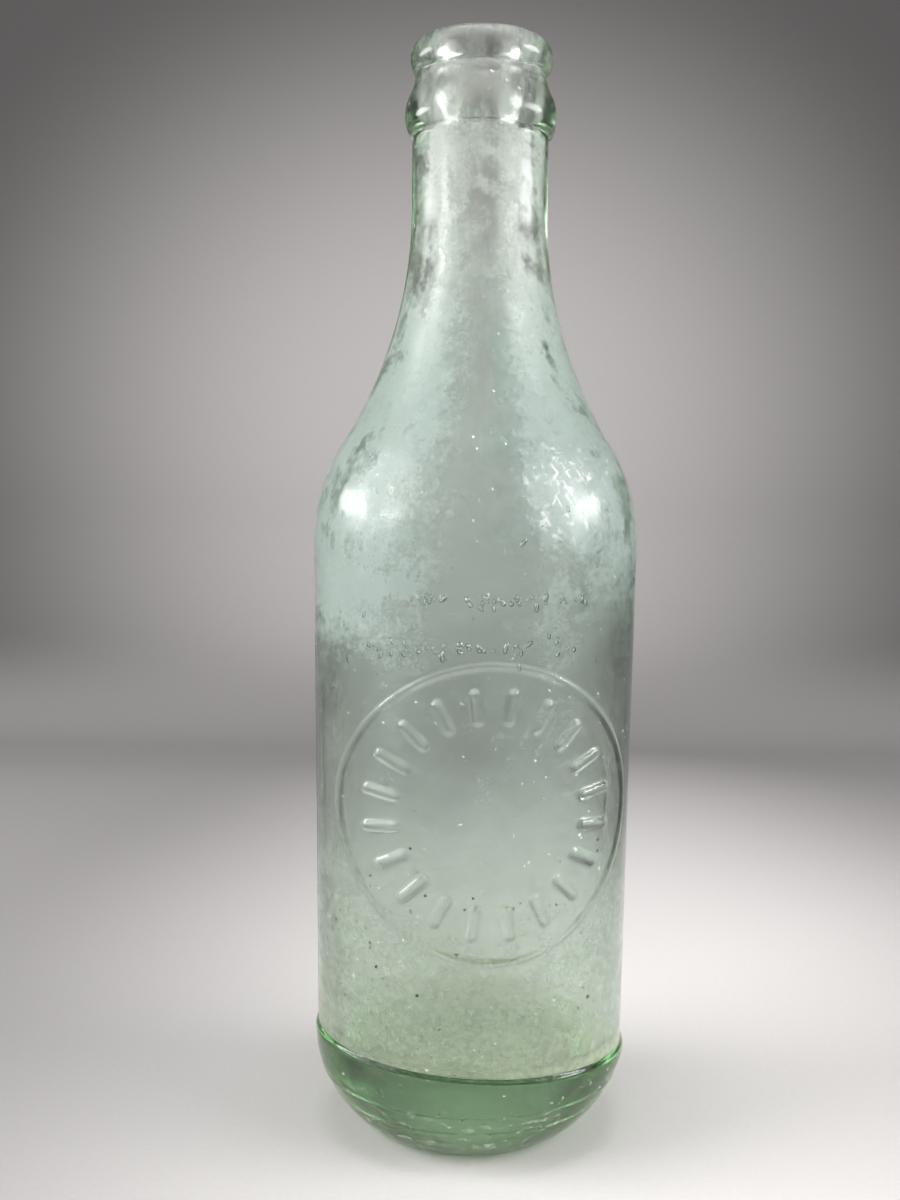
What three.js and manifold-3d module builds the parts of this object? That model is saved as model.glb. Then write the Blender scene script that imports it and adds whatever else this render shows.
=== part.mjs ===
// Returnable soda bottle: one piece of pale green glass with a crown finish, a swept neck,
// a slightly tapered round body with a raised plate on its front, and a heavy rounded base.
// Millimetres, +Z up. The bottle stands on z = 0, its axis is the Z axis and its plate faces -Y.
import * as THREE from 'three';
import { mergeVertices } from 'three/addons/utils/BufferGeometryUtils.js';
import Module from 'manifold-3d';

// Overall
const OVERALL_HEIGHT = 205;

// Crown finish, from the top down: a rounded lip, a waist under it and a reinforcing collar
const LIP_DIAMETER = 26.6;
const LIP_HEIGHT = 6;
const LAND_WIDTH = 1;
const MOUTH_ROUND = 1.5;
const WAIST_DIAMETER = 24.4;
const COLLAR_DIAMETER = 28.2;
const COLLAR_HEIGHT = 11.4;
const COLLAR_BELLY = 3.5;

// Neck and shoulder
const NECK_DIAMETER = 25.4;
const NECK_STRAIGHT = 14;
const NECK_SWEEP_RADIUS = 80.7;
const SHOULDER_RADIUS = 34.3;

// Body, which tapers down from the shoulder to a small smooth ledge over the heel
const SHOULDER_DIAMETER = 61.2;
const BODY_FOOT_DIAMETER = 58.6;
const LEDGE_DIAMETER = 59.8;
const LEDGE_RISE = 1.4;

// Heel and base
const HEEL_HEIGHT = 16.9;
const HEEL_FULLNESS = 0.4;
const BEARING_DIAMETER = 35;
const BEARING_WIDTH = 2;
const PUSH_UP = 2.5;

// Inside
const WALL = 4;
const BORE_DIAMETER = 15.6;
const FLOOR_HEIGHT = 15.4;
const FLOOR_ROUND = 2;

// Front plate: a raised ring round a ring of plain radial bars
const PLATE_DIAMETER = 53;
const PLATE_RISE = 1;
const PLATE_RELIEF = 0.6;
const PLATE_RING_WIDTH = 0.9;
const PLATE_BARS = 20;
const BAR_LENGTH = 6;
const BAR_WIDTH = 1.6;
const BAR_INSET = 3.5;

// Facets
const FACET_ERROR = 0.05;
const BAR_END_STEPS = 4;

// Values that follow from the sizes above
const lipRadius = LIP_DIAMETER / 2;
const waistRadius = WAIST_DIAMETER / 2;
const collarRadius = COLLAR_DIAMETER / 2;
const neckRadius = NECK_DIAMETER / 2;
const shoulderTopRadius = SHOULDER_DIAMETER / 2;
const bodyFootRadius = BODY_FOOT_DIAMETER / 2;
const ledgeRadius = LEDGE_DIAMETER / 2;
const bearingRadius = BEARING_DIAMETER / 2;
const boreRadius = BORE_DIAMETER / 2;

const landInner = boreRadius + MOUTH_ROUND;
const landOuter = landInner + LAND_WIDTH;
const lipRound = lipRadius - landOuter;
const lipZ = OVERALL_HEIGHT - lipRound;
const waistZ = OVERALL_HEIGHT - LIP_HEIGHT;
const collarZ = waistZ - COLLAR_HEIGHT;
const bellyZ = collarZ + COLLAR_BELLY;
const neckFootZ = collarZ - NECK_STRAIGHT;
const outerSweep = tangentSweep(shoulderTopRadius, neckRadius, SHOULDER_RADIUS, NECK_SWEEP_RADIUS);
const springZ = neckFootZ - outerSweep.height;

const innerTopRadius = shoulderTopRadius - WALL;
const innerFootRadius = bodyFootRadius - WALL;
const innerShoulderRadius = SHOULDER_RADIUS - WALL;
const innerSweepRadius = NECK_SWEEP_RADIUS + neckRadius - boreRadius;
const innerSweep = tangentSweep(innerTopRadius, boreRadius, innerShoulderRadius, innerSweepRadius);

const plateRadius = PLATE_DIAMETER / 2;
const plateZ = (HEEL_HEIGHT + springZ) / 2 + PLATE_RISE;

// A convex arc that leaves a wide upright wall and runs without a corner into a concave arc,
// which ends upright on a narrow wall: the angle where the arcs meet, and the height they take.
function tangentSweep(wideRadius, narrowRadius, convexRadius, concaveRadius) {
  const reach = convexRadius + concaveRadius;
  const step = wideRadius - narrowRadius;
  const angle = Math.acos(1 - step / reach);
  return { angle, height: reach * Math.sin(angle) };
}

// The underside: the push-up, the flat bearing ring, the heel and the ledge above it
function basePath() {
  const bearingInner = bearingRadius - BEARING_WIDTH;
  const domeRadius = (bearingInner ** 2 + PUSH_UP ** 2) / (2 * PUSH_UP);
  const domeZ = PUSH_UP - domeRadius;
  const domeEnd = Math.asin(-domeZ / domeRadius);
  const heelReach = ledgeRadius - bearingRadius;
  const path = new THREE.Path();
  path.moveTo(0, PUSH_UP);
  path.absarc(0, domeZ, domeRadius, Math.PI / 2, domeEnd, true);
  path.lineTo(bearingRadius, 0);
  path.bezierCurveTo(
    bearingRadius + HEEL_FULLNESS * heelReach, 0,
    ledgeRadius, HEEL_HEIGHT * (1 - HEEL_FULLNESS),
    ledgeRadius, HEEL_HEIGHT,
  );
  path.bezierCurveTo(
    ledgeRadius, HEEL_HEIGHT + LEDGE_RISE / 2,
    bodyFootRadius, HEEL_HEIGHT + LEDGE_RISE / 2,
    bodyFootRadius, HEEL_HEIGHT + LEDGE_RISE,
  );
  return path;
}

// The outside from the ledge to the collar: tapered body, shoulder, sweep and straight neck
function bodyPath() {
  const path = new THREE.Path();
  path.moveTo(bodyFootRadius, HEEL_HEIGHT + LEDGE_RISE);
  path.lineTo(shoulderTopRadius, springZ);
  path.absarc(shoulderTopRadius - SHOULDER_RADIUS, springZ, SHOULDER_RADIUS, 0, outerSweep.angle, false);
  path.absarc(
    neckRadius + NECK_SWEEP_RADIUS, neckFootZ, NECK_SWEEP_RADIUS,
    Math.PI + outerSweep.angle, Math.PI, true,
  );
  path.lineTo(neckRadius, collarZ);
  return path;
}

// The crown finish: collar, waist, lip and the flat land that a cap seals on
function finishPath() {
  const collarRise = (waistZ - bellyZ) / 2;
  const path = new THREE.Path();
  path.moveTo(neckRadius, collarZ);
  path.absellipse(neckRadius, bellyZ, collarRadius - neckRadius, COLLAR_BELLY, -Math.PI / 2, 0, false, 0);
  path.bezierCurveTo(
    collarRadius, bellyZ + collarRise,
    waistRadius, waistZ - collarRise,
    waistRadius, waistZ,
  );
  path.absellipse(waistRadius, lipZ, lipRadius - waistRadius, lipZ - waistZ, -Math.PI / 2, 0, false, 0);
  path.absarc(landOuter, lipZ, lipRound, 0, Math.PI / 2, false);
  path.lineTo(landInner, OVERALL_HEIGHT);
  return path;
}

// The hollow, from the land down the bore to the floor
function cavityPath() {
  const boreFootZ = springZ + innerSweep.height;
  const path = new THREE.Path();
  path.moveTo(landInner, OVERALL_HEIGHT);
  path.absarc(landInner, OVERALL_HEIGHT - MOUTH_ROUND, MOUTH_ROUND, Math.PI / 2, Math.PI, false);
  path.lineTo(boreRadius, boreFootZ);
  path.absarc(
    boreRadius + innerSweepRadius, boreFootZ, innerSweepRadius,
    Math.PI, Math.PI + innerSweep.angle, false,
  );
  path.absarc(innerTopRadius - innerShoulderRadius, springZ, innerShoulderRadius, innerSweep.angle, 0, true);
  path.lineTo(innerFootRadius, FLOOR_HEIGHT + FLOOR_ROUND);
  path.absarc(innerFootRadius - FLOOR_ROUND, FLOOR_HEIGHT + FLOOR_ROUND, FLOOR_ROUND, 0, -Math.PI / 2, true);
  path.lineTo(0, FLOOR_HEIGHT);
  return path;
}

// How far a curve turns from end to end, in radians
function turning(curve) {
  const samples = 24;
  let total = 0;
  for (let i = 0; i < samples; i += 1) {
    const before = curve.getTangent(i / samples);
    const after = curve.getTangent((i + 1) / samples);
    total += Math.acos(THREE.MathUtils.clamp(before.dot(after), -1, 1));
  }
  return total;
}

// A round of this radius takes this angle per facet to stay within the facet error
function facetAngle(radius) {
  return 2 * Math.acos(1 - Math.min(FACET_ERROR / radius, 1));
}

// The corner points of a path, with each round stretch cut into facets
function facet(path) {
  const points = [path.curves[0].getPoint(0)];
  for (const curve of path.curves) {
    const turn = curve.isLineCurve ? 0 : turning(curve);
    const steps = turn === 0 ? 1 : Math.ceil(turn / facetAngle(curve.getLength() / turn));
    points.push(...curve.getPoints(steps).slice(1));
  }
  return points;
}

// Joins stretches of a profile end to end
function joinPoints(...stretches) {
  return stretches.flatMap((points, i) => (i === 0 ? points : points.slice(1)));
}

// A closed solid from a geometry whose touching vertices are still separate
const wasm = await Module();
wasm.setup();

function toSolid(geometry) {
  const bare = geometry.clone();
  bare.deleteAttribute('normal');
  bare.deleteAttribute('uv');
  const merged = mergeVertices(bare, 1e-5);
  const corners = merged.index.array;
  const kept = [];
  for (let i = 0; i < corners.length; i += 3) {
    const [a, b, c] = [corners[i], corners[i + 1], corners[i + 2]];
    if (a !== b && b !== c && c !== a) kept.push(a, b, c);
  }
  return new wasm.Manifold(new wasm.Mesh({
    numProp: 3,
    vertProperties: new Float32Array(merged.attributes.position.array),
    triVerts: new Uint32Array(kept),
  }));
}

function toGeometry(solid) {
  const mesh = solid.getMesh();
  const geometry = new THREE.BufferGeometry();
  geometry.setAttribute('position', new THREE.BufferAttribute(mesh.vertProperties, 3));
  geometry.setIndex(new THREE.BufferAttribute(mesh.triVerts, 1));
  geometry.computeVertexNormals();
  return geometry;
}

// A solid turned about the Z axis from a profile of radius and height
function revolve(points) {
  const sides = 4 * Math.ceil(Math.PI / 2 / facetAngle(shoulderTopRadius));
  return toSolid(new THREE.LatheGeometry(points, sides).rotateX(Math.PI / 2));
}

// The outlines of the plate's relief, seen from the front, with the plate's centre as origin
function plateOutlines() {
  const ring = new THREE.Shape().absarc(0, 0, plateRadius, 0, 2 * Math.PI, false);
  ring.holes.push(new THREE.Path().absarc(0, 0, plateRadius - PLATE_RING_WIDTH, 0, 2 * Math.PI, true));
  const outlines = [ring];
  const barEnd = plateRadius - PLATE_RING_WIDTH - BAR_INSET - BAR_WIDTH / 2;
  const barStart = barEnd - BAR_LENGTH + BAR_WIDTH;
  for (let i = 0; i < PLATE_BARS; i += 1) {
    const angle = ((i + 0.5) / PLATE_BARS) * 2 * Math.PI;
    const bar = new THREE.Shape();
    const [dx, dy] = [Math.cos(angle), Math.sin(angle)];
    bar.absarc(barEnd * dx, barEnd * dy, BAR_WIDTH / 2, angle - Math.PI / 2, angle + Math.PI / 2, false);
    bar.absarc(barStart * dx, barStart * dy, BAR_WIDTH / 2, angle + Math.PI / 2, angle + 1.5 * Math.PI, false);
    outlines.push(bar);
  }
  return outlines;
}

// The plate's relief: its outlines carried forward and kept only in a skin that follows the body
function plateRelief() {
  const line = facet(bodyPath());
  const bite = WALL / 2;
  const outside = line.map((p) => new THREE.Vector2(p.x + PLATE_RELIEF, p.y));
  const inside = line.map((p) => new THREE.Vector2(p.x - bite, p.y)).reverse();
  const skin = revolve([...outside, ...inside, outside[0]]);
  const ringSteps = Math.ceil((2 * Math.PI) / facetAngle(plateRadius));
  const solids = plateOutlines().map((outline, i) => {
    const steps = i === 0 ? ringSteps / 2 : BAR_END_STEPS / 2;
    const front = new THREE.ExtrudeGeometry(outline, {
      depth: SHOULDER_DIAMETER,
      bevelEnabled: false,
      curveSegments: Math.ceil(steps),
    });
    return toSolid(front.rotateX(Math.PI / 2).translate(0, 0, plateZ)).intersect(skin);
  });
  return solids.reduce((whole, solid) => whole.add(solid));
}

const profile = joinPoints(
  facet(basePath()),
  facet(bodyPath()),
  facet(finishPath()),
  facet(cavityPath()),
);

const glass = new THREE.MeshStandardMaterial({
  color: 0xb4cfbd,
  roughness: 0.12,
  metalness: 0,
  transparent: true,
  opacity: 0.35,
});

const glassBottle = new THREE.Mesh(toGeometry(revolve(profile).add(plateRelief())), glass);
glassBottle.name = 'glass_bottle';

const bottle = new THREE.Group();
bottle.add(glassBottle);

export default bottle;
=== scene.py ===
"""An old returnable soda bottle of pale green glass on a pale paper sweep, lit softly from both sides.

The bottle is one piece of glass. Its visual mesh follows the same profile as the CAD solid, with finer
facets, the relief of the front plate, mould lines, wavy walls, an uneven inner floor and seed bubbles. Its
sizes are millimetres until they are scaled by MM. The frame is in metres, +Z up, with the plate facing -Y,
and so are the heights and places that a material reads.
"""

import math
import random
from collections import namedtuple

import bmesh
import bpy
import numpy as np
from mathutils import Matrix, Vector, noise


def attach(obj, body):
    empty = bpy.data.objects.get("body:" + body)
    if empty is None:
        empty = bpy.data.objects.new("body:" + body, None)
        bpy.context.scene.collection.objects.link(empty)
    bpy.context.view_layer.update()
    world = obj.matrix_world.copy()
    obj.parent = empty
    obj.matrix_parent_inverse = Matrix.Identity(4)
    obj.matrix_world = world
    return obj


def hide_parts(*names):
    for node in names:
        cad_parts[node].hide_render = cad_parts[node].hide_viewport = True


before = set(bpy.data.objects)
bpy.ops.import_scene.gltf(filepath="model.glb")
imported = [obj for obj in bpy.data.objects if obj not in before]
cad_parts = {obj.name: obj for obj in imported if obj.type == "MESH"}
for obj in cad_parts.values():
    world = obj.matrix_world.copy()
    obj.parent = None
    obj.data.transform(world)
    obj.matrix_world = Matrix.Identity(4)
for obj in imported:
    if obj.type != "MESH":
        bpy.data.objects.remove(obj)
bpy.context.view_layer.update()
MM = 0.001
QUARTER = math.pi / 2

# Outside, as in the CAD source
OVERALL_HEIGHT = 205.0
LIP_RADIUS = 13.3
LIP_HEIGHT = 6.0
LAND_WIDTH = 1.0
MOUTH_ROUND = 1.5
WAIST_RADIUS = 12.2
COLLAR_RADIUS = 14.1
COLLAR_HEIGHT = 11.4
COLLAR_BELLY = 3.5
NECK_RADIUS = 12.7
NECK_STRAIGHT = 14.0
NECK_SWEEP_RADIUS = 80.7
SHOULDER_ROUND = 34.3
SHOULDER_RADIUS = 30.6
BODY_FOOT_RADIUS = 29.3
LEDGE_RADIUS = 29.9
LEDGE_RISE = 1.4
HEEL_HEIGHT = 16.9
HEEL_FULLNESS = 0.4
BEARING_RADIUS = 17.5
BEARING_WIDTH = 2.0
PUSH_UP = 2.5

# Inside
WALL = 4.0
BORE_RADIUS = 7.8
FLOOR_HEIGHT = 15.4
FLOOR_ROUND = 2.0

# Front plate
PLATE_RADIUS = 26.5
PLATE_RISE = 1.0
PLATE_MARGIN = 1.2
PLATE_RELIEF = 0.7
PLATE_RING_WIDTH = 0.9
PLATE_BARS = 20
BAR_LENGTH = 6.0
BAR_WIDTH = 1.6
BAR_INSET = 3.5
RELIEF_EDGE = 0.28
RING_SHARE = 0.5

# Marks of the mould: level lines round the heel (height, width, stand) and the side seams
HEEL_LINES = ((11.0, 0.6, 0.1), (7.4, 0.6, 0.08))
SEAM_WIDTH = 0.5
SEAM_STAND = 0.12
SEAM_FADE = 2.0

# The old mould closed askew, so the ledge and the inner floor lean: rise per millimetre along x and y
LEAN_X = -0.053
LEAN_Y = -0.03
LEAN_START = 12.3
LEAN_END = 38.0

# Blown glass is uneven: waves (height, width, seed) outside and inside, none where the bottle stands, and
# the share of the relief that is left with the wave of its wear
OUTER_WAVES = ((0.06, 16, 1), (0.025, 5, 2))
INNER_WAVES = ((0.28, 20, 3), (0.07, 7, 4), (0.03, 2.5, 6))
WAVE_SHIFTS = (17.3, 5.1, 11.7)
WAVES_START = (0.5, 4)
RELIEF_LEFT = 0.85
RELIEF_WEAR = (0.3, 12, 5)

# Seed bubbles in groups: how many, between which angles in degrees from the front, depths and radii. A level
# group gathers at a height with a spread, and the others lie between two heights
Seeds = namedtuple("Seeds", "count angles level heights depths radii")
SEED_GROUPS = (
    Seeds(46, (-29, 34), True, (102.7, 0.7), (0.6, 1.1), (0.2, 0.48)),
    Seeds(36, (-46, 30), True, (94.2, 0.7), (0.6, 1.1), (0.2, 0.48)),
    Seeds(140, (-180, 180), False, (24, 185), (0.7, 3.0), (0.08, 0.24)),
    Seeds(26, (-60, 60), False, (84, 125), (0.7, 1.4), (0.2, 0.42)),
    Seeds(120, (-180, 180), True, (11, 2.4), (0.7, 3.5), (0.08, 0.3)),
)
LOWEST_SEED = 4
SEED_LEAN = 0.5
SEED_STRETCH = (1.0, 2.4)
SEED_FLATNESS = 0.75

# Dried dirt: a patch on the floor, where the floor and both parts of the wall end, and the shape of a fleck
DIRT_PATCH = (19.4, -4.5)
DIRT_PATCH_RADIUS = 2.6
DIRT_FLOOR_END = FLOOR_HEIGHT + 2.5
DIRT_WALL_END = 60
DIRT_TOP_END = 190
FLECK_SMALLEST = 0.08
FLECK_LENGTH = (0.7, 1.6)
FLECK_THICKNESS = 0.35
FLECK_BUMPS = 1.7
FLECK_BUMP_HEIGHT = 0.35

# Rows of the push-up, the bearing ring and the plate, columns of the inside, and columns round the outside
# in degrees: half of the fine part, its step and the step elsewhere
DOME_ROWS = 10
BEARING_ROWS = 2
PLATE_ROWS = 140
INNER_COLUMNS = 120
PLAIN_COLUMNS = (60, 2.5, 3.0)
PLATE_COLUMNS = (64, 0.7, 3.0)
SEAM_COLUMNS = (-1.2, -0.6, 0, 0.6, 1.2)

# Camera, fitted to the photograph: it stands turned to the left of the plate's own direction
CAMERA_TURN = math.radians(-5.7)
CAMERA_SIDE = -4.754
CAMERA_DISTANCE = 257.5
CAMERA_HEIGHT = 118.2
CAMERA_PITCH = math.radians(3.9)
CAMERA_ROLL = 0.012
PHOTO_HEIGHT_PX = 1200
FOCAL_PX = 1343
SENSOR = 36.0

# Glass: green in the thick parts, the tints of body and neck, and how rough and rippled it is
GLASS_IOR = 1.51
GLASS_GREEN = (0.338, 0.662, 0.309, 1)
GLASS_DENSITY = 34.0
BODY_TINT = (0.915, 0.945, 0.945, 1)
NECK_TINT = (0.95, 0.925, 0.94, 1)
BODY_TINT_END = (0.14, 0.18)
INNER_ROUGH = 0.2
SEED_ROUGH = 0.02
RIPPLE_SCALE = 330.0
RIPPLE_DEPTH = 0.0002

# Haze: its colours from the floor up, with the heights over which each gives way to the next
FLOOR_SILT = (0.92, 0.92, 0.76, 1)
FLOOR_SILT_END = (0.0165, 0.03)
WALL_SILT = (0.92, 0.93, 0.86, 1)
WALL_SILT_END = (0.045, 0.075)
BODY_MILK = (0.905, 0.925, 0.965, 1)
BODY_MILK_END = (0.135, 0.16)
NECK_MILK = (0.95, 0.94, 0.97, 1)

# Haze: the scales of its noises, per metre, and the heights over which it grows, fades or changes
CLOUD_SCALE = 58.0
PATCH_SCALE = 170.0
GRAIN_SCALE = 700.0
RING_SCALE = (24, 24, 150)
RUN_SCALE = (260, 260, 30)
RINGS_TO_RUNS = (0.1, 0.13)
SOFT_TO_SHARP = (0.08, 0.1)
FULLER_RISE = (0.1, 0.14)
FULLER_FALL = (0.148, 0.168)
LEFT_RISE = (0.085, 0.105)
RIGHT_RISE = (0.095, 0.12)
HAZE_RISE = (0.05, 0.11)
FLOOR_HAZE_END = (0.0172, 0.0205)
FRONT_FALL = (0.075, 0.1)
COLLAR_FALL = (0.186, 0.193)
BODY_HAZE = (0.028, 0.06, 0.15, 0.175)
BARE_LEFT = (0.05, 0.065, 0.08, 0.098)
BARE_RIGHT = (0.045, 0.058, 0.088, 0.108)

# Wear outside: the knock on the shoulder with its scratches, specks, the streaky heel and dull glass
SCUFF_PLACE = (0.013, -0.0255, 0.121)
SCUFF_END = (0.003, 0.013)
SCRATCH_TURNS = (0.6, -0.5)
SCRATCH_SCALE = (420, 420, 50)
SCRATCH_WIDTH = 0.035
SPECK_SCALE = 900.0
STREAK_SCALE = (480, 480, 1000)
HEEL_SCUFF_END = (0.0095, 0.0125)
WEAR_RISE = (0.09, 0.115)
WEAR_FALL = (0.15, 0.19)

# Paper: its ovals of painted light, as a middle and a radius across and then up or away, and the painted
# shade that dims the floor towards the back
PAINTED_WALL_LIGHT_POOL = ((0.0, 0.22), (0.165, 0.19))
PAINTED_FLOOR_LIGHT_POOL = ((0.045, 0.13), (0.03, 0.31))
PAINTED_FRONT_LIGHT_POOL = ((0.045, 1.3), (-0.035, 1.0))
PAINTED_FLOOR_SHADE_FALL = (0.28, 0.5)
FLOOR_TO_BACK = (0.0, 0.05)
FIBRE_SCALE = 900.0

# Other colours
DIRT_DARK = (0.035, 0.03, 0.02, 1)
DIRT_PALE = (0.2, 0.16, 0.09, 1)
DIRT_SCALE = 900.0
BLACK = (0, 0, 0, 1)
PAPER_WHITE = (1.0, 0.965, 0.955, 1)
ROOM_WHITE = (1, 0.99, 0.985, 1)

BODY = "root"
NODE = "glass_bottle"

# Sizes and heights that follow from the ones above
LAND_INNER = BORE_RADIUS + MOUTH_ROUND
LAND_OUTER = LAND_INNER + LAND_WIDTH
LIP_ROUND = LIP_RADIUS - LAND_OUTER
LIP_Z = OVERALL_HEIGHT - LIP_ROUND
WAIST_Z = OVERALL_HEIGHT - LIP_HEIGHT
COLLAR_Z = WAIST_Z - COLLAR_HEIGHT
BELLY_Z = COLLAR_Z + COLLAR_BELLY
NECK_FOOT_Z = COLLAR_Z - NECK_STRAIGHT
BODY_FOOT_Z = HEEL_HEIGHT + LEDGE_RISE


def sweep_angle(wide, narrow, convex, concave):
    """The angle where a convex arc off a wide wall meets a concave arc onto a narrow wall."""
    return math.acos(1 - (wide - narrow) / (convex + concave))


OUTER_ANGLE = sweep_angle(SHOULDER_RADIUS, NECK_RADIUS, SHOULDER_ROUND, NECK_SWEEP_RADIUS)
SPRING_Z = NECK_FOOT_Z - (SHOULDER_ROUND + NECK_SWEEP_RADIUS) * math.sin(OUTER_ANGLE)
INNER_TOP_RADIUS = SHOULDER_RADIUS - WALL
INNER_FOOT_RADIUS = BODY_FOOT_RADIUS - WALL
INNER_ROUND = SHOULDER_ROUND - WALL
INNER_SWEEP_RADIUS = NECK_SWEEP_RADIUS + NECK_RADIUS - BORE_RADIUS
INNER_ANGLE = sweep_angle(INNER_TOP_RADIUS, BORE_RADIUS, INNER_ROUND, INNER_SWEEP_RADIUS)
BORE_FOOT_Z = SPRING_Z + (INNER_ROUND + INNER_SWEEP_RADIUS) * math.sin(INNER_ANGLE)
PLATE_Z = (HEEL_HEIGHT + SPRING_Z) / 2 + PLATE_RISE
PLATE_LOW = PLATE_Z - PLATE_RADIUS - PLATE_MARGIN
PLATE_HIGH = PLATE_Z + PLATE_RADIUS + PLATE_MARGIN


# Profile

def line(start, end, steps):
    """Points from start to end, without start."""
    t = np.linspace(0, 1, steps + 1)[1:, None]
    return np.array(start) * (1 - t) + np.array(end) * t


def arc(centre, radii, start, end, steps):
    """Points along an upright ellipse from one angle to another, without the first."""
    t = np.linspace(start, end, steps + 1)[1:]
    return np.stack([centre[0] + radii[0] * np.cos(t), centre[1] + radii[1] * np.sin(t)], -1)


def bezier(a, b, c, d, steps):
    """Points along a cubic curve, without the first."""
    t = np.linspace(0, 1, steps + 1)[1:, None]
    a, b, c, d = (np.array(p) for p in (a, b, c, d))
    return (1 - t) ** 3 * a + 3 * (1 - t) ** 2 * t * b + 3 * (1 - t) * t**2 * c + t**3 * d


def upright_bend(start, end, steps):
    """A smooth step from one upright wall to another, without the first point."""
    middle = (start[1] + end[1]) / 2
    return bezier(start, (start[0], middle), (end[0], middle), end, steps)


def on_body(z):
    """The point of the tapered body at a height."""
    taper = (SHOULDER_RADIUS - BODY_FOOT_RADIUS) / (SPRING_Z - BODY_FOOT_Z)
    return (BODY_FOOT_RADIUS + taper * (z - BODY_FOOT_Z), z)


def base_profile():
    """Radius and height from near the middle of the base, over the heel and ledge, to under the plate."""
    inner = BEARING_RADIUS - BEARING_WIDTH
    dome = (inner**2 + PUSH_UP**2) / (2 * PUSH_UP)
    dome_z = PUSH_UP - dome
    reach = LEDGE_RADIUS - BEARING_RADIUS
    return np.concatenate([
        arc((0, dome_z), (dome, dome), QUARTER, math.asin(-dome_z / dome), DOME_ROWS),
        line((inner, 0), (BEARING_RADIUS, 0), BEARING_ROWS),
        bezier(
            (BEARING_RADIUS, 0),
            (BEARING_RADIUS + HEEL_FULLNESS * reach, 0),
            (LEDGE_RADIUS, HEEL_HEIGHT * (1 - HEEL_FULLNESS)),
            (LEDGE_RADIUS, HEEL_HEIGHT),
            steps=78,
        ),
        upright_bend((LEDGE_RADIUS, HEEL_HEIGHT), on_body(BODY_FOOT_Z), steps=8),
        line(on_body(BODY_FOOT_Z), on_body(PLATE_LOW), steps=16),
    ])


def top_profile():
    """Radius and height from over the plate, up the shoulder and neck, to the inner edge of the land."""
    return np.concatenate([
        line(on_body(PLATE_HIGH), on_body(SPRING_Z), steps=12),
        arc((SHOULDER_RADIUS - SHOULDER_ROUND, SPRING_Z), (SHOULDER_ROUND,) * 2, 0, OUTER_ANGLE, steps=16),
        arc(
            (NECK_RADIUS + NECK_SWEEP_RADIUS, NECK_FOOT_Z),
            (NECK_SWEEP_RADIUS,) * 2,
            math.pi + OUTER_ANGLE,
            math.pi,
            steps=34,
        ),
        line((NECK_RADIUS, NECK_FOOT_Z), (NECK_RADIUS, COLLAR_Z), steps=12),
        arc((NECK_RADIUS, BELLY_Z), (COLLAR_RADIUS - NECK_RADIUS, COLLAR_BELLY), -QUARTER, 0, steps=10),
        upright_bend((COLLAR_RADIUS, BELLY_Z), (WAIST_RADIUS, WAIST_Z), steps=14),
        arc((WAIST_RADIUS, LIP_Z), (LIP_RADIUS - WAIST_RADIUS, LIP_Z - WAIST_Z), -QUARTER, 0, steps=9),
        arc((LAND_OUTER, LIP_Z), (LIP_ROUND,) * 2, 0, QUARTER, steps=10),
        line((LAND_OUTER, OVERALL_HEIGHT), (LAND_INNER, OVERALL_HEIGHT), steps=2),
    ])


def inner_profile():
    """Radius and height down the inside, from just past the land to near the middle of the floor."""
    corner_z = FLOOR_HEIGHT + FLOOR_ROUND
    corner_r = INNER_FOOT_RADIUS - FLOOR_ROUND
    near_middle = 1.2
    return np.concatenate([
        arc((LAND_INNER, OVERALL_HEIGHT - MOUTH_ROUND), (MOUTH_ROUND,) * 2, QUARTER, math.pi, steps=6),
        line((BORE_RADIUS, OVERALL_HEIGHT - MOUTH_ROUND), (BORE_RADIUS, BORE_FOOT_Z), steps=20),
        arc(
            (BORE_RADIUS + INNER_SWEEP_RADIUS, BORE_FOOT_Z),
            (INNER_SWEEP_RADIUS,) * 2,
            math.pi,
            math.pi + INNER_ANGLE,
            steps=26,
        ),
        arc((INNER_TOP_RADIUS - INNER_ROUND, SPRING_Z), (INNER_ROUND,) * 2, INNER_ANGLE, 0, steps=12),
        line((INNER_TOP_RADIUS, SPRING_Z), (INNER_FOOT_RADIUS, corner_z), steps=46),
        arc((corner_r, corner_z), (FLOOR_ROUND,) * 2, 0, -QUARTER, steps=8),
        line((corner_r, FLOOR_HEIGHT), (near_middle, FLOOR_HEIGHT), steps=14),
    ])


def profile_normals(points):
    """Which way out of the glass is, along the profile."""
    run = np.gradient(points, axis=0)
    normals = np.stack([run[:, 1], -run[:, 0]], -1)
    return normals / np.linalg.norm(normals, axis=1, keepdims=True)


def turn_angles(fine_half, fine_step, step):
    """Angles round the axis from the front: fine within fine_half degrees, and close at the seams."""
    ahead = np.arange(-fine_half, fine_half + fine_step / 2, fine_step)
    seam = 90 + np.array(SEAM_COLUMNS)
    side = np.arange(fine_half + step, 180, step)
    side = side[abs(side - 90) > SEAM_COLUMNS[-1] + step / 2]
    side = np.sort(np.concatenate([side, seam]))
    return np.radians(np.concatenate([-side[::-1], ahead, side]))


Band = namedtuple("Band", "rows normals angles inside")


def make_bands():
    """The profile from the base up the outside and down the inside, in stretches that share their angles."""
    plate = line(on_body(PLATE_LOW), on_body(PLATE_HIGH), PLATE_ROWS)
    plain = turn_angles(*PLAIN_COLUMNS)
    fine = turn_angles(*PLATE_COLUMNS)
    inner = np.linspace(-math.pi, math.pi, INNER_COLUMNS, endpoint=False)
    stretches = [
        (base_profile(), plain, False),
        (plate, fine, False),
        (top_profile(), plain, False),
        (inner_profile(), inner, True),
    ]
    normals = profile_normals(np.concatenate([rows for rows, _, _ in stretches]))
    bands = []
    start = 0
    for rows, angles, inside in stretches:
        bands.append(Band(rows, normals[start:start + len(rows)], angles, inside))
        start += len(rows)
    return bands


# Relief and unevenness

def ramp(value, low, high):
    """0 below low and 1 above high, smooth between."""
    t = np.clip((value - low) / (high - low), 0, 1)
    return t * t * (3 - 2 * t)


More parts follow.
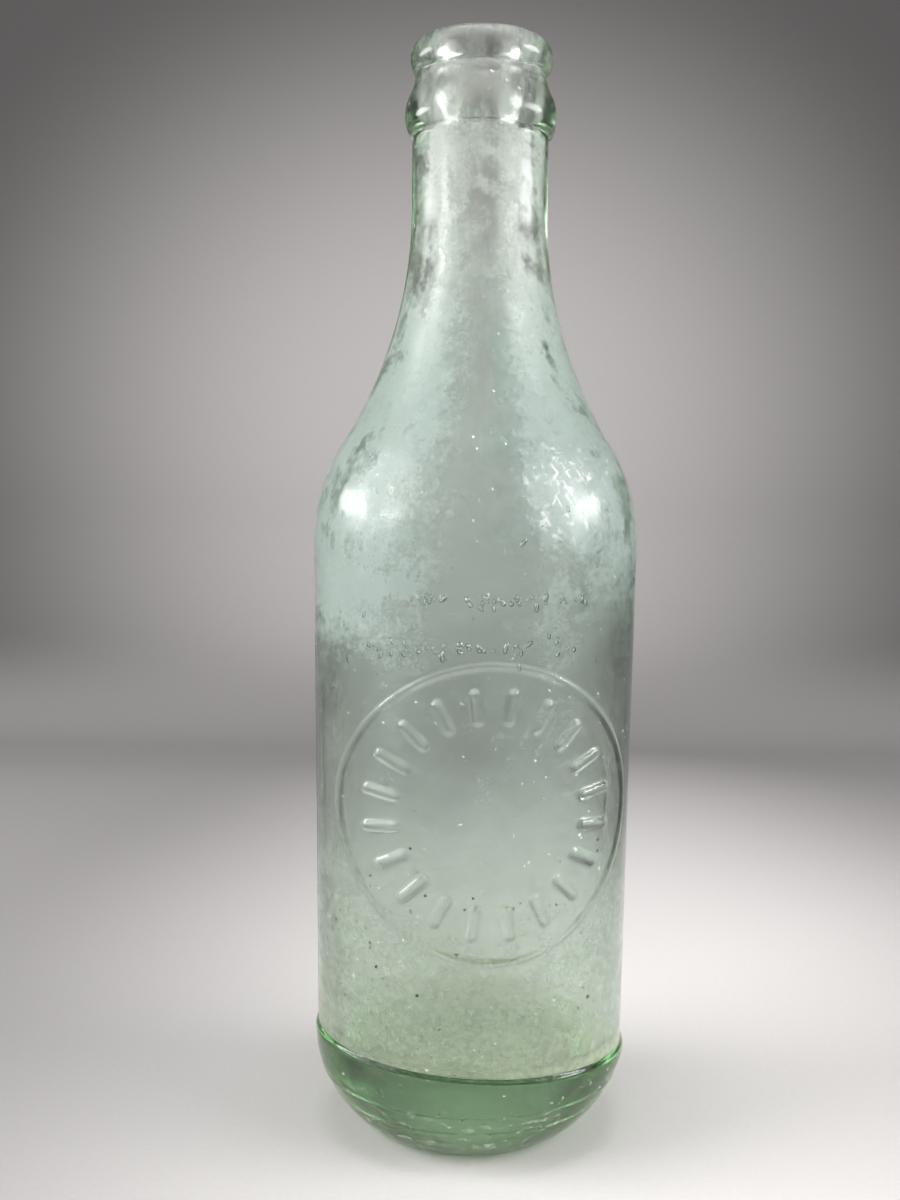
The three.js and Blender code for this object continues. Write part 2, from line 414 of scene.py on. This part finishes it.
def mesa(distance, half_width, edge):
    """1 within half_width, 0 beyond it, with a soft edge."""
    return 1 - ramp(distance, half_width - edge, half_width + edge)


def plate_relief(x, z):
    """How far the plate's ring and bars stand out, at points seen from the front."""
    up = z - PLATE_Z
    middle = PLATE_RADIUS - PLATE_RING_WIDTH / 2
    height = RING_SHARE * mesa(abs(np.hypot(x, up) - middle), PLATE_RING_WIDTH / 2, RELIEF_EDGE)
    bar_end = PLATE_RADIUS - PLATE_RING_WIDTH - BAR_INSET - BAR_WIDTH / 2
    bar_start = bar_end - BAR_LENGTH + BAR_WIDTH
    for i in range(PLATE_BARS):
        angle = (i + 0.5) / PLATE_BARS * 2 * math.pi
        along = x * math.cos(angle) + up * math.sin(angle)
        across = up * math.cos(angle) - x * math.sin(angle)
        past = along - np.clip(along, bar_start, bar_end)
        height = np.maximum(height, mesa(np.hypot(across, past), BAR_WIDTH / 2, RELIEF_EDGE))
    return PLATE_RELIEF * height


def waves(points, scale, seed):
    """Smooth noise between about -1 and 1 with bumps about scale millimetres across."""
    shift = Vector([seed * step for step in WAVE_SHIFTS])
    flat = points.reshape(-1, 3) / scale
    values = [noise.noise(Vector(p) + shift) for p in flat]
    return np.array(values).reshape(points.shape[:-1])


def unevenness(points, parts):
    """The sum of several waves, each given as (height, width, seed)."""
    return sum(height * waves(points, width, seed) for height, width, seed in parts)


def outside_lift(points, radius, angles):
    """How far the outer surface stands off its profile: soft waves, plate, heel lines and side seams."""
    x, y, height = (points[..., i] for i in range(3))
    lift = unevenness(points, OUTER_WAVES) * ramp(height, *WAVES_START)
    on_plate = (height > PLATE_LOW) & (height < PLATE_HIGH) & (y < 0)
    worn = RELIEF_LEFT + unevenness(points, [RELIEF_WEAR])
    lift += plate_relief(x, height) * on_plate * worn
    for line_z, width, stand in HEEL_LINES:
        lift += stand * mesa(abs(height - line_z), width / 2, width / 2)
    seam = mesa(abs(abs(angles) - QUARTER) * radius, SEAM_WIDTH / 2, SEAM_WIDTH / 2)
    lift += SEAM_STAND * seam * ramp(height, BODY_FOOT_Z, BODY_FOOT_Z + SEAM_FADE) * (height < WAIST_Z)
    return lift


def surface(band):
    """The band's points, in rows along the profile and columns round the axis, and the way out there."""
    columns = len(band.angles)
    radius = np.repeat(band.rows[:, :1], columns, 1)
    height = np.repeat(band.rows[:, 1:], columns, 1)
    turn = np.stack([np.sin(band.angles), -np.cos(band.angles)], -1)[None]
    points = np.concatenate([radius[..., None] * turn, height[..., None]], -1)
    out = np.concatenate([
        band.normals[:, None, :1] * turn,
        np.repeat(band.normals[:, None, 1:], columns, 1),
    ], -1)
    if band.inside:
        lift = unevenness(points, INNER_WAVES)
        rising = 1.0
    else:
        lift = outside_lift(points, radius, band.angles)
        rising = ramp(height, LEAN_START, HEEL_HEIGHT)
    fading = 1 - ramp(height, BODY_FOOT_Z, LEAN_END)
    lean = (LEAN_X * points[..., 0] + LEAN_Y * points[..., 1]) * rising * fading
    points = points + lift[..., None] * out
    points[..., 2] += lean
    return points, out


# Meshes

def grid_faces(start, rows, columns):
    """Quads over a grid that closes round the axis."""
    at = start + np.arange(rows * columns).reshape(rows, columns)
    beside = np.roll(at, -1, axis=1)
    return np.stack([at[:-1], beside[:-1], beside[1:], at[1:]], -1).reshape(-1, 4).tolist()


def stitch(low, low_angles, high, high_angles):
    """Triangles between two neighbouring rings with their own angles."""
    turn = 2 * math.pi
    low_ends = np.append(low_angles[1:], low_angles[0] + turn)
    high_ends = np.append(high_angles[1:], high_angles[0] + turn)
    faces = []
    i = j = 0
    while i < len(low) or j < len(high):
        a = low[i % len(low)]
        b = high[j % len(high)]
        if j == len(high) or (i < len(low) and low_ends[i] <= high_ends[j]):
            faces.append((a, low[(i + 1) % len(low)], b))
            i += 1
        else:
            faces.append((a, high[(j + 1) % len(high)], b))
            j += 1
    return faces


def ball():
    """A unit ball of 80 triangles, its faces turned outwards."""
    shape = bmesh.new()
    bmesh.ops.create_icosphere(shape, subdivisions=2, radius=1.0)
    verts = np.array([v.co[:] for v in shape.verts])
    faces = [[v.index for v in f.verts] for f in shape.faces]
    shape.free()
    return verts, faces


def wall_point(angle, z, depth):
    """A point in the glass, at a depth under the outside and at a height on the body, neck or heel."""
    heel = base_profile()[DOME_ROWS + BEARING_ROWS:]
    body = line(on_body(PLATE_LOW), on_body(PLATE_HIGH), steps=2)
    outside = np.concatenate([heel, body, top_profile()])
    radius = np.interp(z, outside[:, 1], outside[:, 0]) - depth
    return np.array([radius * math.sin(angle), -radius * math.cos(angle), z])


def seed_places(rng):
    """Where seed bubbles lie in the glass, and how large they are: (point, radius)."""
    places = []
    for group in SEED_GROUPS:
        draw_height = rng.gauss if group.level else rng.uniform
        for _ in range(group.count):
            angle = math.radians(rng.uniform(*group.angles))
            centre = wall_point(angle, draw_height(*group.heights), rng.uniform(*group.depths))
            places.append((centre, rng.uniform(*group.radii)))
    return [(centre, radius) for centre, radius in places if centre[2] > LOWEST_SEED]


def seed_bubbles(start):
    """Closed hollows in the glass, drawn out along or across the bottle: their points and faces."""
    rng = random.Random(11)
    verts, faces = ball()
    points = []
    cavities = []
    for centre, size in seed_places(rng):
        angle = math.atan2(centre[0], -centre[1])
        across = np.array([math.cos(angle), math.sin(angle), 0])
        deep = np.array([math.sin(angle), -math.cos(angle), 0])
        up = np.array([0, 0, 1.0])
        lean = rng.gauss(0, SEED_LEAN)
        long_way = up * math.cos(lean) + across * math.sin(lean)
        short_way = across * math.cos(lean) - up * math.sin(lean)
        stretch = rng.uniform(*SEED_STRETCH)
        frame_axes = np.stack([short_way, SEED_FLATNESS * deep, stretch * long_way])
        shift = start + len(points) * len(verts)
        points.append(centre + size * verts @ frame_axes)
        turned_in = np.linalg.det(frame_axes) > 0
        cavities += [[shift + i for i in (f[::-1] if turned_in else f)] for f in faces]
    return np.concatenate(points), cavities


def bottle_mesh(bands):
    """One closed mesh of glass, with the middle of the base and of the floor as single points."""
    points = [np.array([[0, 0, PUSH_UP]])]
    # For each run of points: whether it is hazy, whether it is worn, and how many points it has
    marks = [(0, 1, 1)]
    faces = []
    total = 1
    last = None
    for band in bands:
        grid = surface(band)[0]
        rows, columns = grid.shape[:2]
        first_ring = list(range(total, total + columns))
        if last is None:
            faces += [(0, first_ring[(j + 1) % columns], first_ring[j]) for j in range(columns)]
        else:
            faces += stitch(last, last_angles, first_ring, band.angles)
        faces += grid_faces(total, rows, columns)
        points.append(grid.reshape(-1, 3))
        marks.append((band.inside, not band.inside, rows * columns))
        total += rows * columns
        last = list(range(total - columns, total))
        last_angles = band.angles
    points.append(grid[-1].mean(0)[None])
    marks.append((1, 0, 1))
    faces += [(last[j], last[(j + 1) % columns], total) for j in range(columns)]
    total += 1
    hollows, cavities = seed_bubbles(total)
    points.append(hollows)
    marks.append((0, 0, len(hollows)))
    faces += cavities

    mesh = bpy.data.meshes.new("bottle_glass")
    mesh.from_pydata((np.concatenate(points) * MM).tolist(), [], faces)
    mesh.polygons.foreach_set("use_smooth", [True] * len(mesh.polygons))
    for index, name in enumerate(("hazy", "worn")):
        values = np.concatenate([np.full(mark[2], float(mark[index])) for mark in marks])
        mesh.attributes.new(name, "FLOAT", "POINT").data.foreach_set("value", values)
    mesh.update()
    return mesh


# Materials

class Nodes:
    """A short way to build a node tree: add() makes a node, sets its values and links its inputs."""

    def __init__(self, tree):
        self.tree = tree
        tree.nodes.clear()

    def add(self, kind, inputs=None, **settings):
        node = self.tree.nodes.new(kind)
        for name, value in settings.items():
            setattr(node, name, value)
        for name, value in (inputs or {}).items():
            socket = node.inputs[name]
            if isinstance(value, bpy.types.NodeSocket):
                self.tree.links.new(value, socket)
            else:
                socket.default_value = value
        return node

    def math(self, operation, a, b=0.0):
        return self.add("ShaderNodeMath", {0: a, 1: b}, operation=operation).outputs[0]

    def sum(self, *terms):
        """The sum of value times weight over pairs of both."""
        total = 0.0
        for value, weight in terms:
            total = self.math("ADD", total, self.math("MULTIPLY", value, weight))
        return total

    def noise(self, where, scale, detail=6.0, roughness=0.6, warp=0.0):
        inputs = {
            "Vector": where,
            "Scale": scale,
            "Detail": detail,
            "Roughness": roughness,
            "Distortion": warp,
        }
        return self.add("ShaderNodeTexNoise", inputs).outputs["Fac"]

    def stretch(self, where, scale):
        return self.add("ShaderNodeMapping", {"Vector": where, "Scale": scale}).outputs[0]

    def product(self, *values):
        total = values[0]
        for value in values[1:]:
            total = self.math("MULTIPLY", total, value)
        return total

    def most(self, *values):
        total = values[0]
        for value in values[1:]:
            total = self.math("MAXIMUM", total, value)
        return total

    def oval(self, point, shape):
        """How far out a point lies in an oval with its rim at 1, shaped by (middle, radius) per axis."""
        shares = []
        for coordinate, (middle, radius) in zip(point, shape):
            shares.append(self.math("DIVIDE", self.math("SUBTRACT", coordinate, middle), radius))
        return self.math("SQRT", self.sum(*((share, share) for share in shares)))

    def remap(self, value, low, high, to_low, to_high):
        inputs = {"Value": value, "From Min": low, "From Max": high, "To Min": to_low, "To Max": to_high}
        return self.add("ShaderNodeMapRange", inputs, interpolation_type="SMOOTHSTEP").outputs["Result"]

    def between(self, value, start, full, fading, end):
        """0 below start and above end, and 1 from full to fading."""
        rise = self.remap(value, start, full, 0.0, 1.0)
        return self.product(rise, self.remap(value, fading, end, 1.0, 0.0))

    def mix(self, factor, a, b):
        inputs = {"Factor": factor, "A": a, "B": b}
        return self.add("ShaderNodeMix", inputs, data_type="FLOAT").outputs["Result"]

    def blend(self, factor, a, b):
        """Mix two colours. The colour sockets of the node are its inputs 6 and 7 and its output 2."""
        return self.add("ShaderNodeMix", {0: factor, 6: a, 7: b}, data_type="RGBA").outputs[2]


def new_material(name):
    material = bpy.data.materials.new(name)
    material.use_nodes = True
    return material, Nodes(material.node_tree)


def scratches(n, where, turn):
    """Fine straight scratches that lean by turn, as the level lines of a drawn-out noise."""
    turned = n.add("ShaderNodeVectorRotate", {"Vector": where, "Angle": turn}, rotation_type="Y_AXIS")
    field = n.noise(n.stretch(turned.outputs[0], SCRATCH_SCALE), 1.0, 2.0, 0.5)
    from_line = n.math("ABSOLUTE", n.math("SUBTRACT", field, 0.5))
    return n.remap(from_line, 0.0, SCRATCH_WIDTH, 1.0, 0.0)


Spot = namedtuple("Spot", "where height side clouds patches grain drawn")


def make_spot(n):
    """What the glass material reads at a point: its place in metres, and noises from coarse to fine.

    The side runs from -1 at the left of the bottle to 1 at its right. The drawn noise runs round the body
    and along the shoulder and neck.
    """
    where = n.add("ShaderNodeTexCoord").outputs["Object"]
    x, y, height = n.add("ShaderNodeSeparateXYZ", {0: where}).outputs
    radius = n.math("SQRT", n.sum((x, x), (y, y)))
    rings = n.noise(n.stretch(where, RING_SCALE), 1.0, 7.0, 0.6)
    runs = n.noise(n.stretch(where, RUN_SCALE), 1.0, 7.0, 0.56)
    return Spot(
        where=where,
        height=height,
        side=n.math("DIVIDE", x, radius),
        clouds=n.noise(where, CLOUD_SCALE, 8.0, 0.54, 0.5),
        patches=n.noise(where, PATCH_SCALE, 7.0, 0.54, 0.6),
        grain=n.noise(where, GRAIN_SCALE, 5.0, 0.7),
        drawn=n.mix(n.remap(height, *RINGS_TO_RUNS, 0.0, 1.0), rings, runs),
    )


def haze_strength(n, spot):
    """How strong the haze is: most at the shoulder's sides, less in front, none at the body's sides."""
    height = spot.height
    ragged = n.math("SUBTRACT", n.sum((spot.side, 1.0), (spot.clouds, 1.2), (spot.patches, 0.8)), 1.0)
    left = n.product(n.remap(ragged, -0.65, -0.15, 1.3, 0.06), n.remap(height, *LEFT_RISE, 0.4, 1.0))
    right = n.product(n.remap(ragged, 0.12, 0.45, 0.06, 1.2), n.remap(height, *RIGHT_RISE, 0.35, 1.0))
    front = n.product(n.remap(spot.patches, 0.36, 0.64, 0.0, 0.5), n.remap(height, *FRONT_FALL, 1.0, 0.25))
    strength = n.product(
        n.mix(n.between(height, *BODY_HAZE), 1.0, n.most(left, right, front)),
        n.remap(height, *HAZE_RISE, 0.5, 0.95),
        n.remap(height, *COLLAR_FALL, 1.0, 0.4),
    )
    bare_left = n.product(n.remap(spot.side, -0.85, -0.65, 0.95, 0.0), n.between(height, *BARE_LEFT))
    bare_right = n.product(n.remap(spot.side, 0.5, 0.74, 0.0, 1.0), n.between(height, *BARE_RIGHT))
    return n.product(strength, n.math("SUBTRACT", 1.0, n.most(bare_left, bare_right)))


def haze_film(n, spot):
    """The share of the inside under haze: ragged over the plate, soft lower down and full on the floor."""
    height = spot.height
    fuller = n.product(n.remap(height, *FULLER_RISE, 0.0, 0.04), n.remap(height, *FULLER_FALL, 1.0, 0.15))
    noises = ((spot.clouds, 0.35), (spot.patches, 0.29), (spot.drawn, 0.26), (spot.grain, 0.1))
    mottle = n.sum(*noises, (fuller, 1.0))
    soft = n.remap(mottle, 0.38, 0.6, 0.15, 1.0)
    sharp = n.remap(mottle, 0.43, 0.54, 0.0, 1.0)
    cover = n.mix(n.remap(height, *SOFT_TO_SHARP, 0.0, 1.0), soft, sharp)
    on_wall = n.product(cover, haze_strength(n, spot))
    on_floor = n.product(n.remap(height, *FLOOR_HAZE_END, 0.95, 0.0), n.remap(mottle, 0.4, 0.55, 0.6, 1.0))
    fine = n.remap(n.sum((spot.grain, 0.6), (spot.drawn, 0.4)), 0.4, 0.6, 0.72, 1.12)
    return n.product(n.most(on_wall, on_floor), fine)


def scuff_film(n, spot):
    """The share of the outside that is scuffed white: a knock on the shoulder, specks, heel and grain."""
    from_knock = n.add("ShaderNodeVectorMath", {0: spot.where, 1: SCUFF_PLACE}, operation="DISTANCE")
    near_knock = n.remap(from_knock.outputs["Value"], *SCUFF_END, 0.9, 0.0)
    crossed = n.most(*(scratches(n, spot.where, turn) for turn in SCRATCH_TURNS))
    knock = n.product(crossed, near_knock, n.remap(spot.grain, 0.49, 0.57, 0.0, 1.0))
    specks = n.remap(n.noise(spot.where, SPECK_SCALE, 2.0, 0.5), 0.705, 0.77, 0.0, 0.7)
    streaks = n.noise(n.stretch(spot.where, STREAK_SCALE), 1.0, 6.0, 0.7)
    heel = n.product(n.remap(streaks, 0.52, 0.68, 0.0, 0.4), n.remap(spot.height, *HEEL_SCUFF_END, 1.0, 0.0))
    return n.most(knock, specks, heel, n.remap(spot.grain, 0.52, 0.72, 0.0, 0.08))


def outer_roughness(n, spot):
    """The outside is worn most on the shoulder, in patches."""
    height = spot.height
    wear = n.product(n.remap(height, *WEAR_RISE, 0.14, 0.21), n.remap(height, *WEAR_FALL, 1.0, 0.7))
    return n.product(wear, n.remap(n.sum((spot.patches, 0.6), (spot.grain, 0.4)), 0.4, 0.6, 0.7, 1.25))


def haze_shader(n, height, hazy):
    """White on the neck and body and yellower silt low down. The haze inside also lets light through."""
    milk = n.blend(n.remap(height, *FLOOR_SILT_END, 0.0, 1.0), FLOOR_SILT, WALL_SILT)
    milk = n.blend(n.remap(height, *WALL_SILT_END, 0.0, 1.0), milk, BODY_MILK)
    milk = n.blend(n.remap(height, *BODY_MILK_END, 0.0, 1.0), milk, NECK_MILK)
    return n.add("ShaderNodeMixShader", {
        0: n.math("MULTIPLY", hazy, 0.5),
        1: n.add("ShaderNodeBsdfDiffuse", {"Color": milk}).outputs[0],
        2: n.add("ShaderNodeBsdfTranslucent", {"Color": milk}).outputs[0],
    })


def glass_material():
    """Old pale green glass: fine wear outside, a milky mottled haze inside, green in the thick parts."""
    material, n = new_material("aged_green_glass")
    hazy = n.add("ShaderNodeAttribute", attribute_name="hazy").outputs["Fac"]
    worn = n.add("ShaderNodeAttribute", attribute_name="worn").outputs["Fac"]
    in_seed = n.math("SUBTRACT", 1.0, n.math("ADD", worn, hazy))
    spot = make_spot(n)
    film = n.sum((haze_film(n, spot), hazy), (scuff_film(n, spot), worn))
    ripples = n.noise(spot.where, RIPPLE_SCALE, 3.0, 0.5)
    bump = n.add("ShaderNodeBump", {"Strength": 0.3, "Distance": RIPPLE_DEPTH, "Height": ripples})
    glass = n.add("ShaderNodeBsdfPrincipled", {
        "Base Color": n.blend(n.remap(spot.height, *BODY_TINT_END, 0.0, 1.0), BODY_TINT, NECK_TINT),
        "Roughness": n.sum((outer_roughness(n, spot), worn), (INNER_ROUGH, hazy), (SEED_ROUGH, in_seed)),
        "IOR": GLASS_IOR,
        "Transmission Weight": 1.0,
        "Normal": bump.outputs["Normal"],
    })
    milky = haze_shader(n, spot.height, hazy)
    surface = n.add("ShaderNodeMixShader", {0: film, 1: glass.outputs[0], 2: milky.outputs[0]})
    volume = n.add("ShaderNodeVolumeAbsorption", {"Color": GLASS_GREEN, "Density": GLASS_DENSITY})
    n.add("ShaderNodeOutputMaterial", {"Surface": surface.outputs[0], "Volume": volume.outputs[0]})
    return material


def sediment_material():
    """Dried dirt: dark brown to ochre."""
    material, n = new_material("dried_dirt")
    where = n.add("ShaderNodeTexCoord").outputs["Object"]
    tone = n.remap(n.noise(where, DIRT_SCALE, 3.0), 0.35, 0.65, 0.0, 1.0)
    surface = n.add("ShaderNodeBsdfPrincipled", {
        "Base Color": n.blend(tone, DIRT_DARK, DIRT_PALE),
        "Roughness": 0.85,
    })
    n.add("ShaderNodeOutputMaterial", {"Surface": surface.outputs[0]})
    return material


def sweep_material():
    """Pale paper on the floor and greyer up the back, with painted light: a painted pool of light on the
    wall, one on the floor round the bottle and one in front of it, and painted shade that darkens the paper
    away from them.
    """
    material, n = new_material("paper_with_painted_light")
    where = n.add("ShaderNodeTexCoord").outputs["Object"]
    x, y, z = n.add("ShaderNodeSeparateXYZ", {0: where}).outputs
    # Painted light: lighter ovals stand in for pools of lamp light on the wall, round the bottle's foot and
    # in front of it, and the paper darkens away from them and towards the back as painted shade.
    painted_wall_light = n.remap(n.oval((x, z), PAINTED_WALL_LIGHT_POOL), 0.2, 1.6, 0.345, 0.075)
    painted_floor_light = n.remap(n.oval((x, y), PAINTED_FLOOR_LIGHT_POOL), 0.1, 1.5, 0.53, 0.22)
    painted_floor_light = n.product(painted_floor_light, n.remap(y, *PAINTED_FLOOR_SHADE_FALL, 1.0, 0.65))
    painted_front_light = n.remap(n.oval((x, y), PAINTED_FRONT_LIGHT_POOL), 0.0, 0.13, 0.5, 0.2)
    level = n.mix(n.remap(z, *FLOOR_TO_BACK, 0.0, 1.0), n.most(painted_floor_light, painted_front_light), painted_wall_light)
    fibres = n.remap(n.noise(where, FIBRE_SCALE, 3.0), 0.3, 0.7, 0.985, 1.015)
    paper = n.product(level, fibres)
    surface = n.add("ShaderNodeBsdfPrincipled", {
        "Base Color": n.blend(paper, BLACK, PAPER_WHITE),
        "Roughness": 0.9,
        "Specular IOR Level": 0.1,
    })
    n.add("ShaderNodeOutputMaterial", {"Surface": surface.outputs[0]})
    return material


# Pieces

def link(name, data):
    piece = bpy.data.objects.new(name, data)
    bpy.context.scene.collection.objects.link(piece)
    return piece


def make_bottle(bands):
    piece = link("bottle_glass", bottle_mesh(bands))
    piece.data.materials.append(glass_material())
    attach(piece, BODY)
    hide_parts(NODE)


def make_sediment(band):
    """Flecks of dried dirt on the inner floor and wall, thickest low down and in one patch on the floor."""
    rng = random.Random(5)
    points, out = surface(band)
    points = points.reshape(-1, 3)
    out = out.reshape(-1, 3)
    x, y, height = points.T
    patch = np.hypot(x - DIRT_PATCH[0], y - DIRT_PATCH[1]) < DIRT_PATCH_RADIUS
    low = height < DIRT_FLOOR_END
    on_wall = (height >= DIRT_FLOOR_END) & (height < DIRT_WALL_END)
    high = (height >= DIRT_WALL_END) & (height < DIRT_TOP_END)
    places = ((low, 130, 0.34), (low & patch, 22, 0.4), (on_wall, 110, 0.3), (high, 40, 0.2))
    verts, faces = ball()
    flecks = []
    fleck_faces = []
    for where, count, largest in places:
        choices = np.flatnonzero(where)
        for _ in range(count):
            at = rng.choice(choices)
            normal = Vector(out[at])
            side = normal.orthogonal().normalized()
            other = normal.cross(side)
            size = rng.uniform(FLECK_SMALLEST, largest)
            axes = np.stack([side * rng.uniform(*FLECK_LENGTH), other, normal * FLECK_THICKNESS])
            own = Vector((at, 0, 0))
            bumps = np.array([[noise.noise(Vector(v) * FLECK_BUMPS + own)] for v in verts])
            rough = 1 + FLECK_BUMP_HEIGHT * bumps
            shift = len(flecks) * len(verts)
            flecks.append(points[at] + size * (verts * rough) @ axes)
            fleck_faces += [[shift + i for i in f] for f in faces]
    mesh = bpy.data.meshes.new("sediment")
    mesh.from_pydata((np.concatenate(flecks) * MM).tolist(), [], fleck_faces)
    mesh.materials.append(sediment_material())
    piece = link("sediment", mesh)
    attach(piece, BODY)


# Stage

def make_sweep():
    """A floor that curves up into a back wall."""
    half_width = 1.6
    near = -1.2
    wall_y = 0.52
    bend = 0.12
    top = 1.4
    steps = 16
    outline = [(near, 0.0)]
    for i in range(steps + 1):
        angle = -QUARTER + QUARTER * i / steps
        outline.append((wall_y - bend + bend * math.cos(angle), bend + bend * math.sin(angle)))
    outline.append((wall_y, top))
    verts = [(side * half_width, y, z) for y, z in outline for side in (-1, 1)]
    faces = [(2 * i, 2 * i + 1, 2 * i + 3, 2 * i + 2) for i in range(len(outline) - 1)]
    mesh = bpy.data.meshes.new("sweep")
    mesh.from_pydata(verts, [], faces)
    mesh.polygons.foreach_set("use_smooth", [True] * len(mesh.polygons))
    piece = link("sweep", mesh)
    piece.rotation_euler.z = CAMERA_TURN
    mesh.materials.append(sweep_material())


def make_light(name, bearing, elevation, distance, size, power, shine=True):
    """A soft oval lamp aimed at the bottle's middle, its bearing counted from the camera's side."""
    aim = Vector((0, 0, OVERALL_HEIGHT * MM * 0.5))
    turn = math.radians(bearing) + CAMERA_TURN
    rise = math.radians(elevation)
    place = aim + distance * Vector((
        math.sin(turn) * math.cos(rise),
        -math.cos(turn) * math.cos(rise),
        math.sin(rise),
    ))
    lamp = bpy.data.lights.new(name, "AREA")
    lamp.shape = "ELLIPSE"
    lamp.size, lamp.size_y = size
    lamp.energy = power
    piece = link(name, lamp)
    piece.location = place
    piece.rotation_euler = (aim - place).to_track_quat("-Z", "Y").to_euler()
    piece.visible_glossy = shine


def make_lights():
    """Softboxes at both sides, broad fills that make no highlight, and a dim room, brighter in front."""
    make_light("left_softbox", -99, 15, 0.55, (0.3, 0.1), 0.65)
    make_light("right_softbox", 83, 17, 0.55, (0.3, 0.1), 0.85)
    make_light("left_fill", -76, 22, 0.6, (0.5, 0.5), 5.2, shine=False)
    make_light("right_fill", 68, 24, 0.6, (0.5, 0.5), 3.6, shine=False)
    make_light("top_softbox", 0, 87, 0.9, (0.5, 0.5), 4.0, shine=False)
    world = bpy.data.worlds.new("studio")
    bpy.context.scene.world = world
    world.use_nodes = True
    n = Nodes(world.node_tree)
    towards = n.add("ShaderNodeSeparateXYZ", {0: n.add("ShaderNodeTexCoord").outputs["Generated"]})
    ahead = n.sum((towards.outputs["Y"], -0.65), (towards.outputs["Z"], 0.65))
    strength = n.remap(ahead, 0.1, 0.85, 0.25, 0.6)
    glow = n.add("ShaderNodeBackground", {"Color": ROOM_WHITE, "Strength": strength})
    n.add("ShaderNodeOutputWorld", {"Surface": glow.outputs[0]})


def make_camera():
    lens = bpy.data.cameras.new("camera")
    lens.sensor_fit = "VERTICAL"
    lens.sensor_height = SENSOR
    lens.lens = SENSOR * FOCAL_PX / PHOTO_HEIGHT_PX
    lens.clip_start = 0.01
    piece = link("camera", lens)
    turn = Matrix.Rotation(CAMERA_TURN, 4, "Z")
    place = Matrix.Translation(Vector((CAMERA_SIDE, -CAMERA_DISTANCE, CAMERA_HEIGHT)) * MM)
    level = Matrix.Rotation(QUARTER - CAMERA_PITCH, 4, "X")
    piece.matrix_world = turn @ place @ level @ Matrix.Rotation(CAMERA_ROLL, 4, "Z")
    bpy.context.scene.camera = piece


make_camera()
BANDS = make_bands()
make_bottle(BANDS)
make_sediment(BANDS[-1])
make_sweep()
make_lights()
bpy.context.scene.view_settings.view_transform = "Standard"
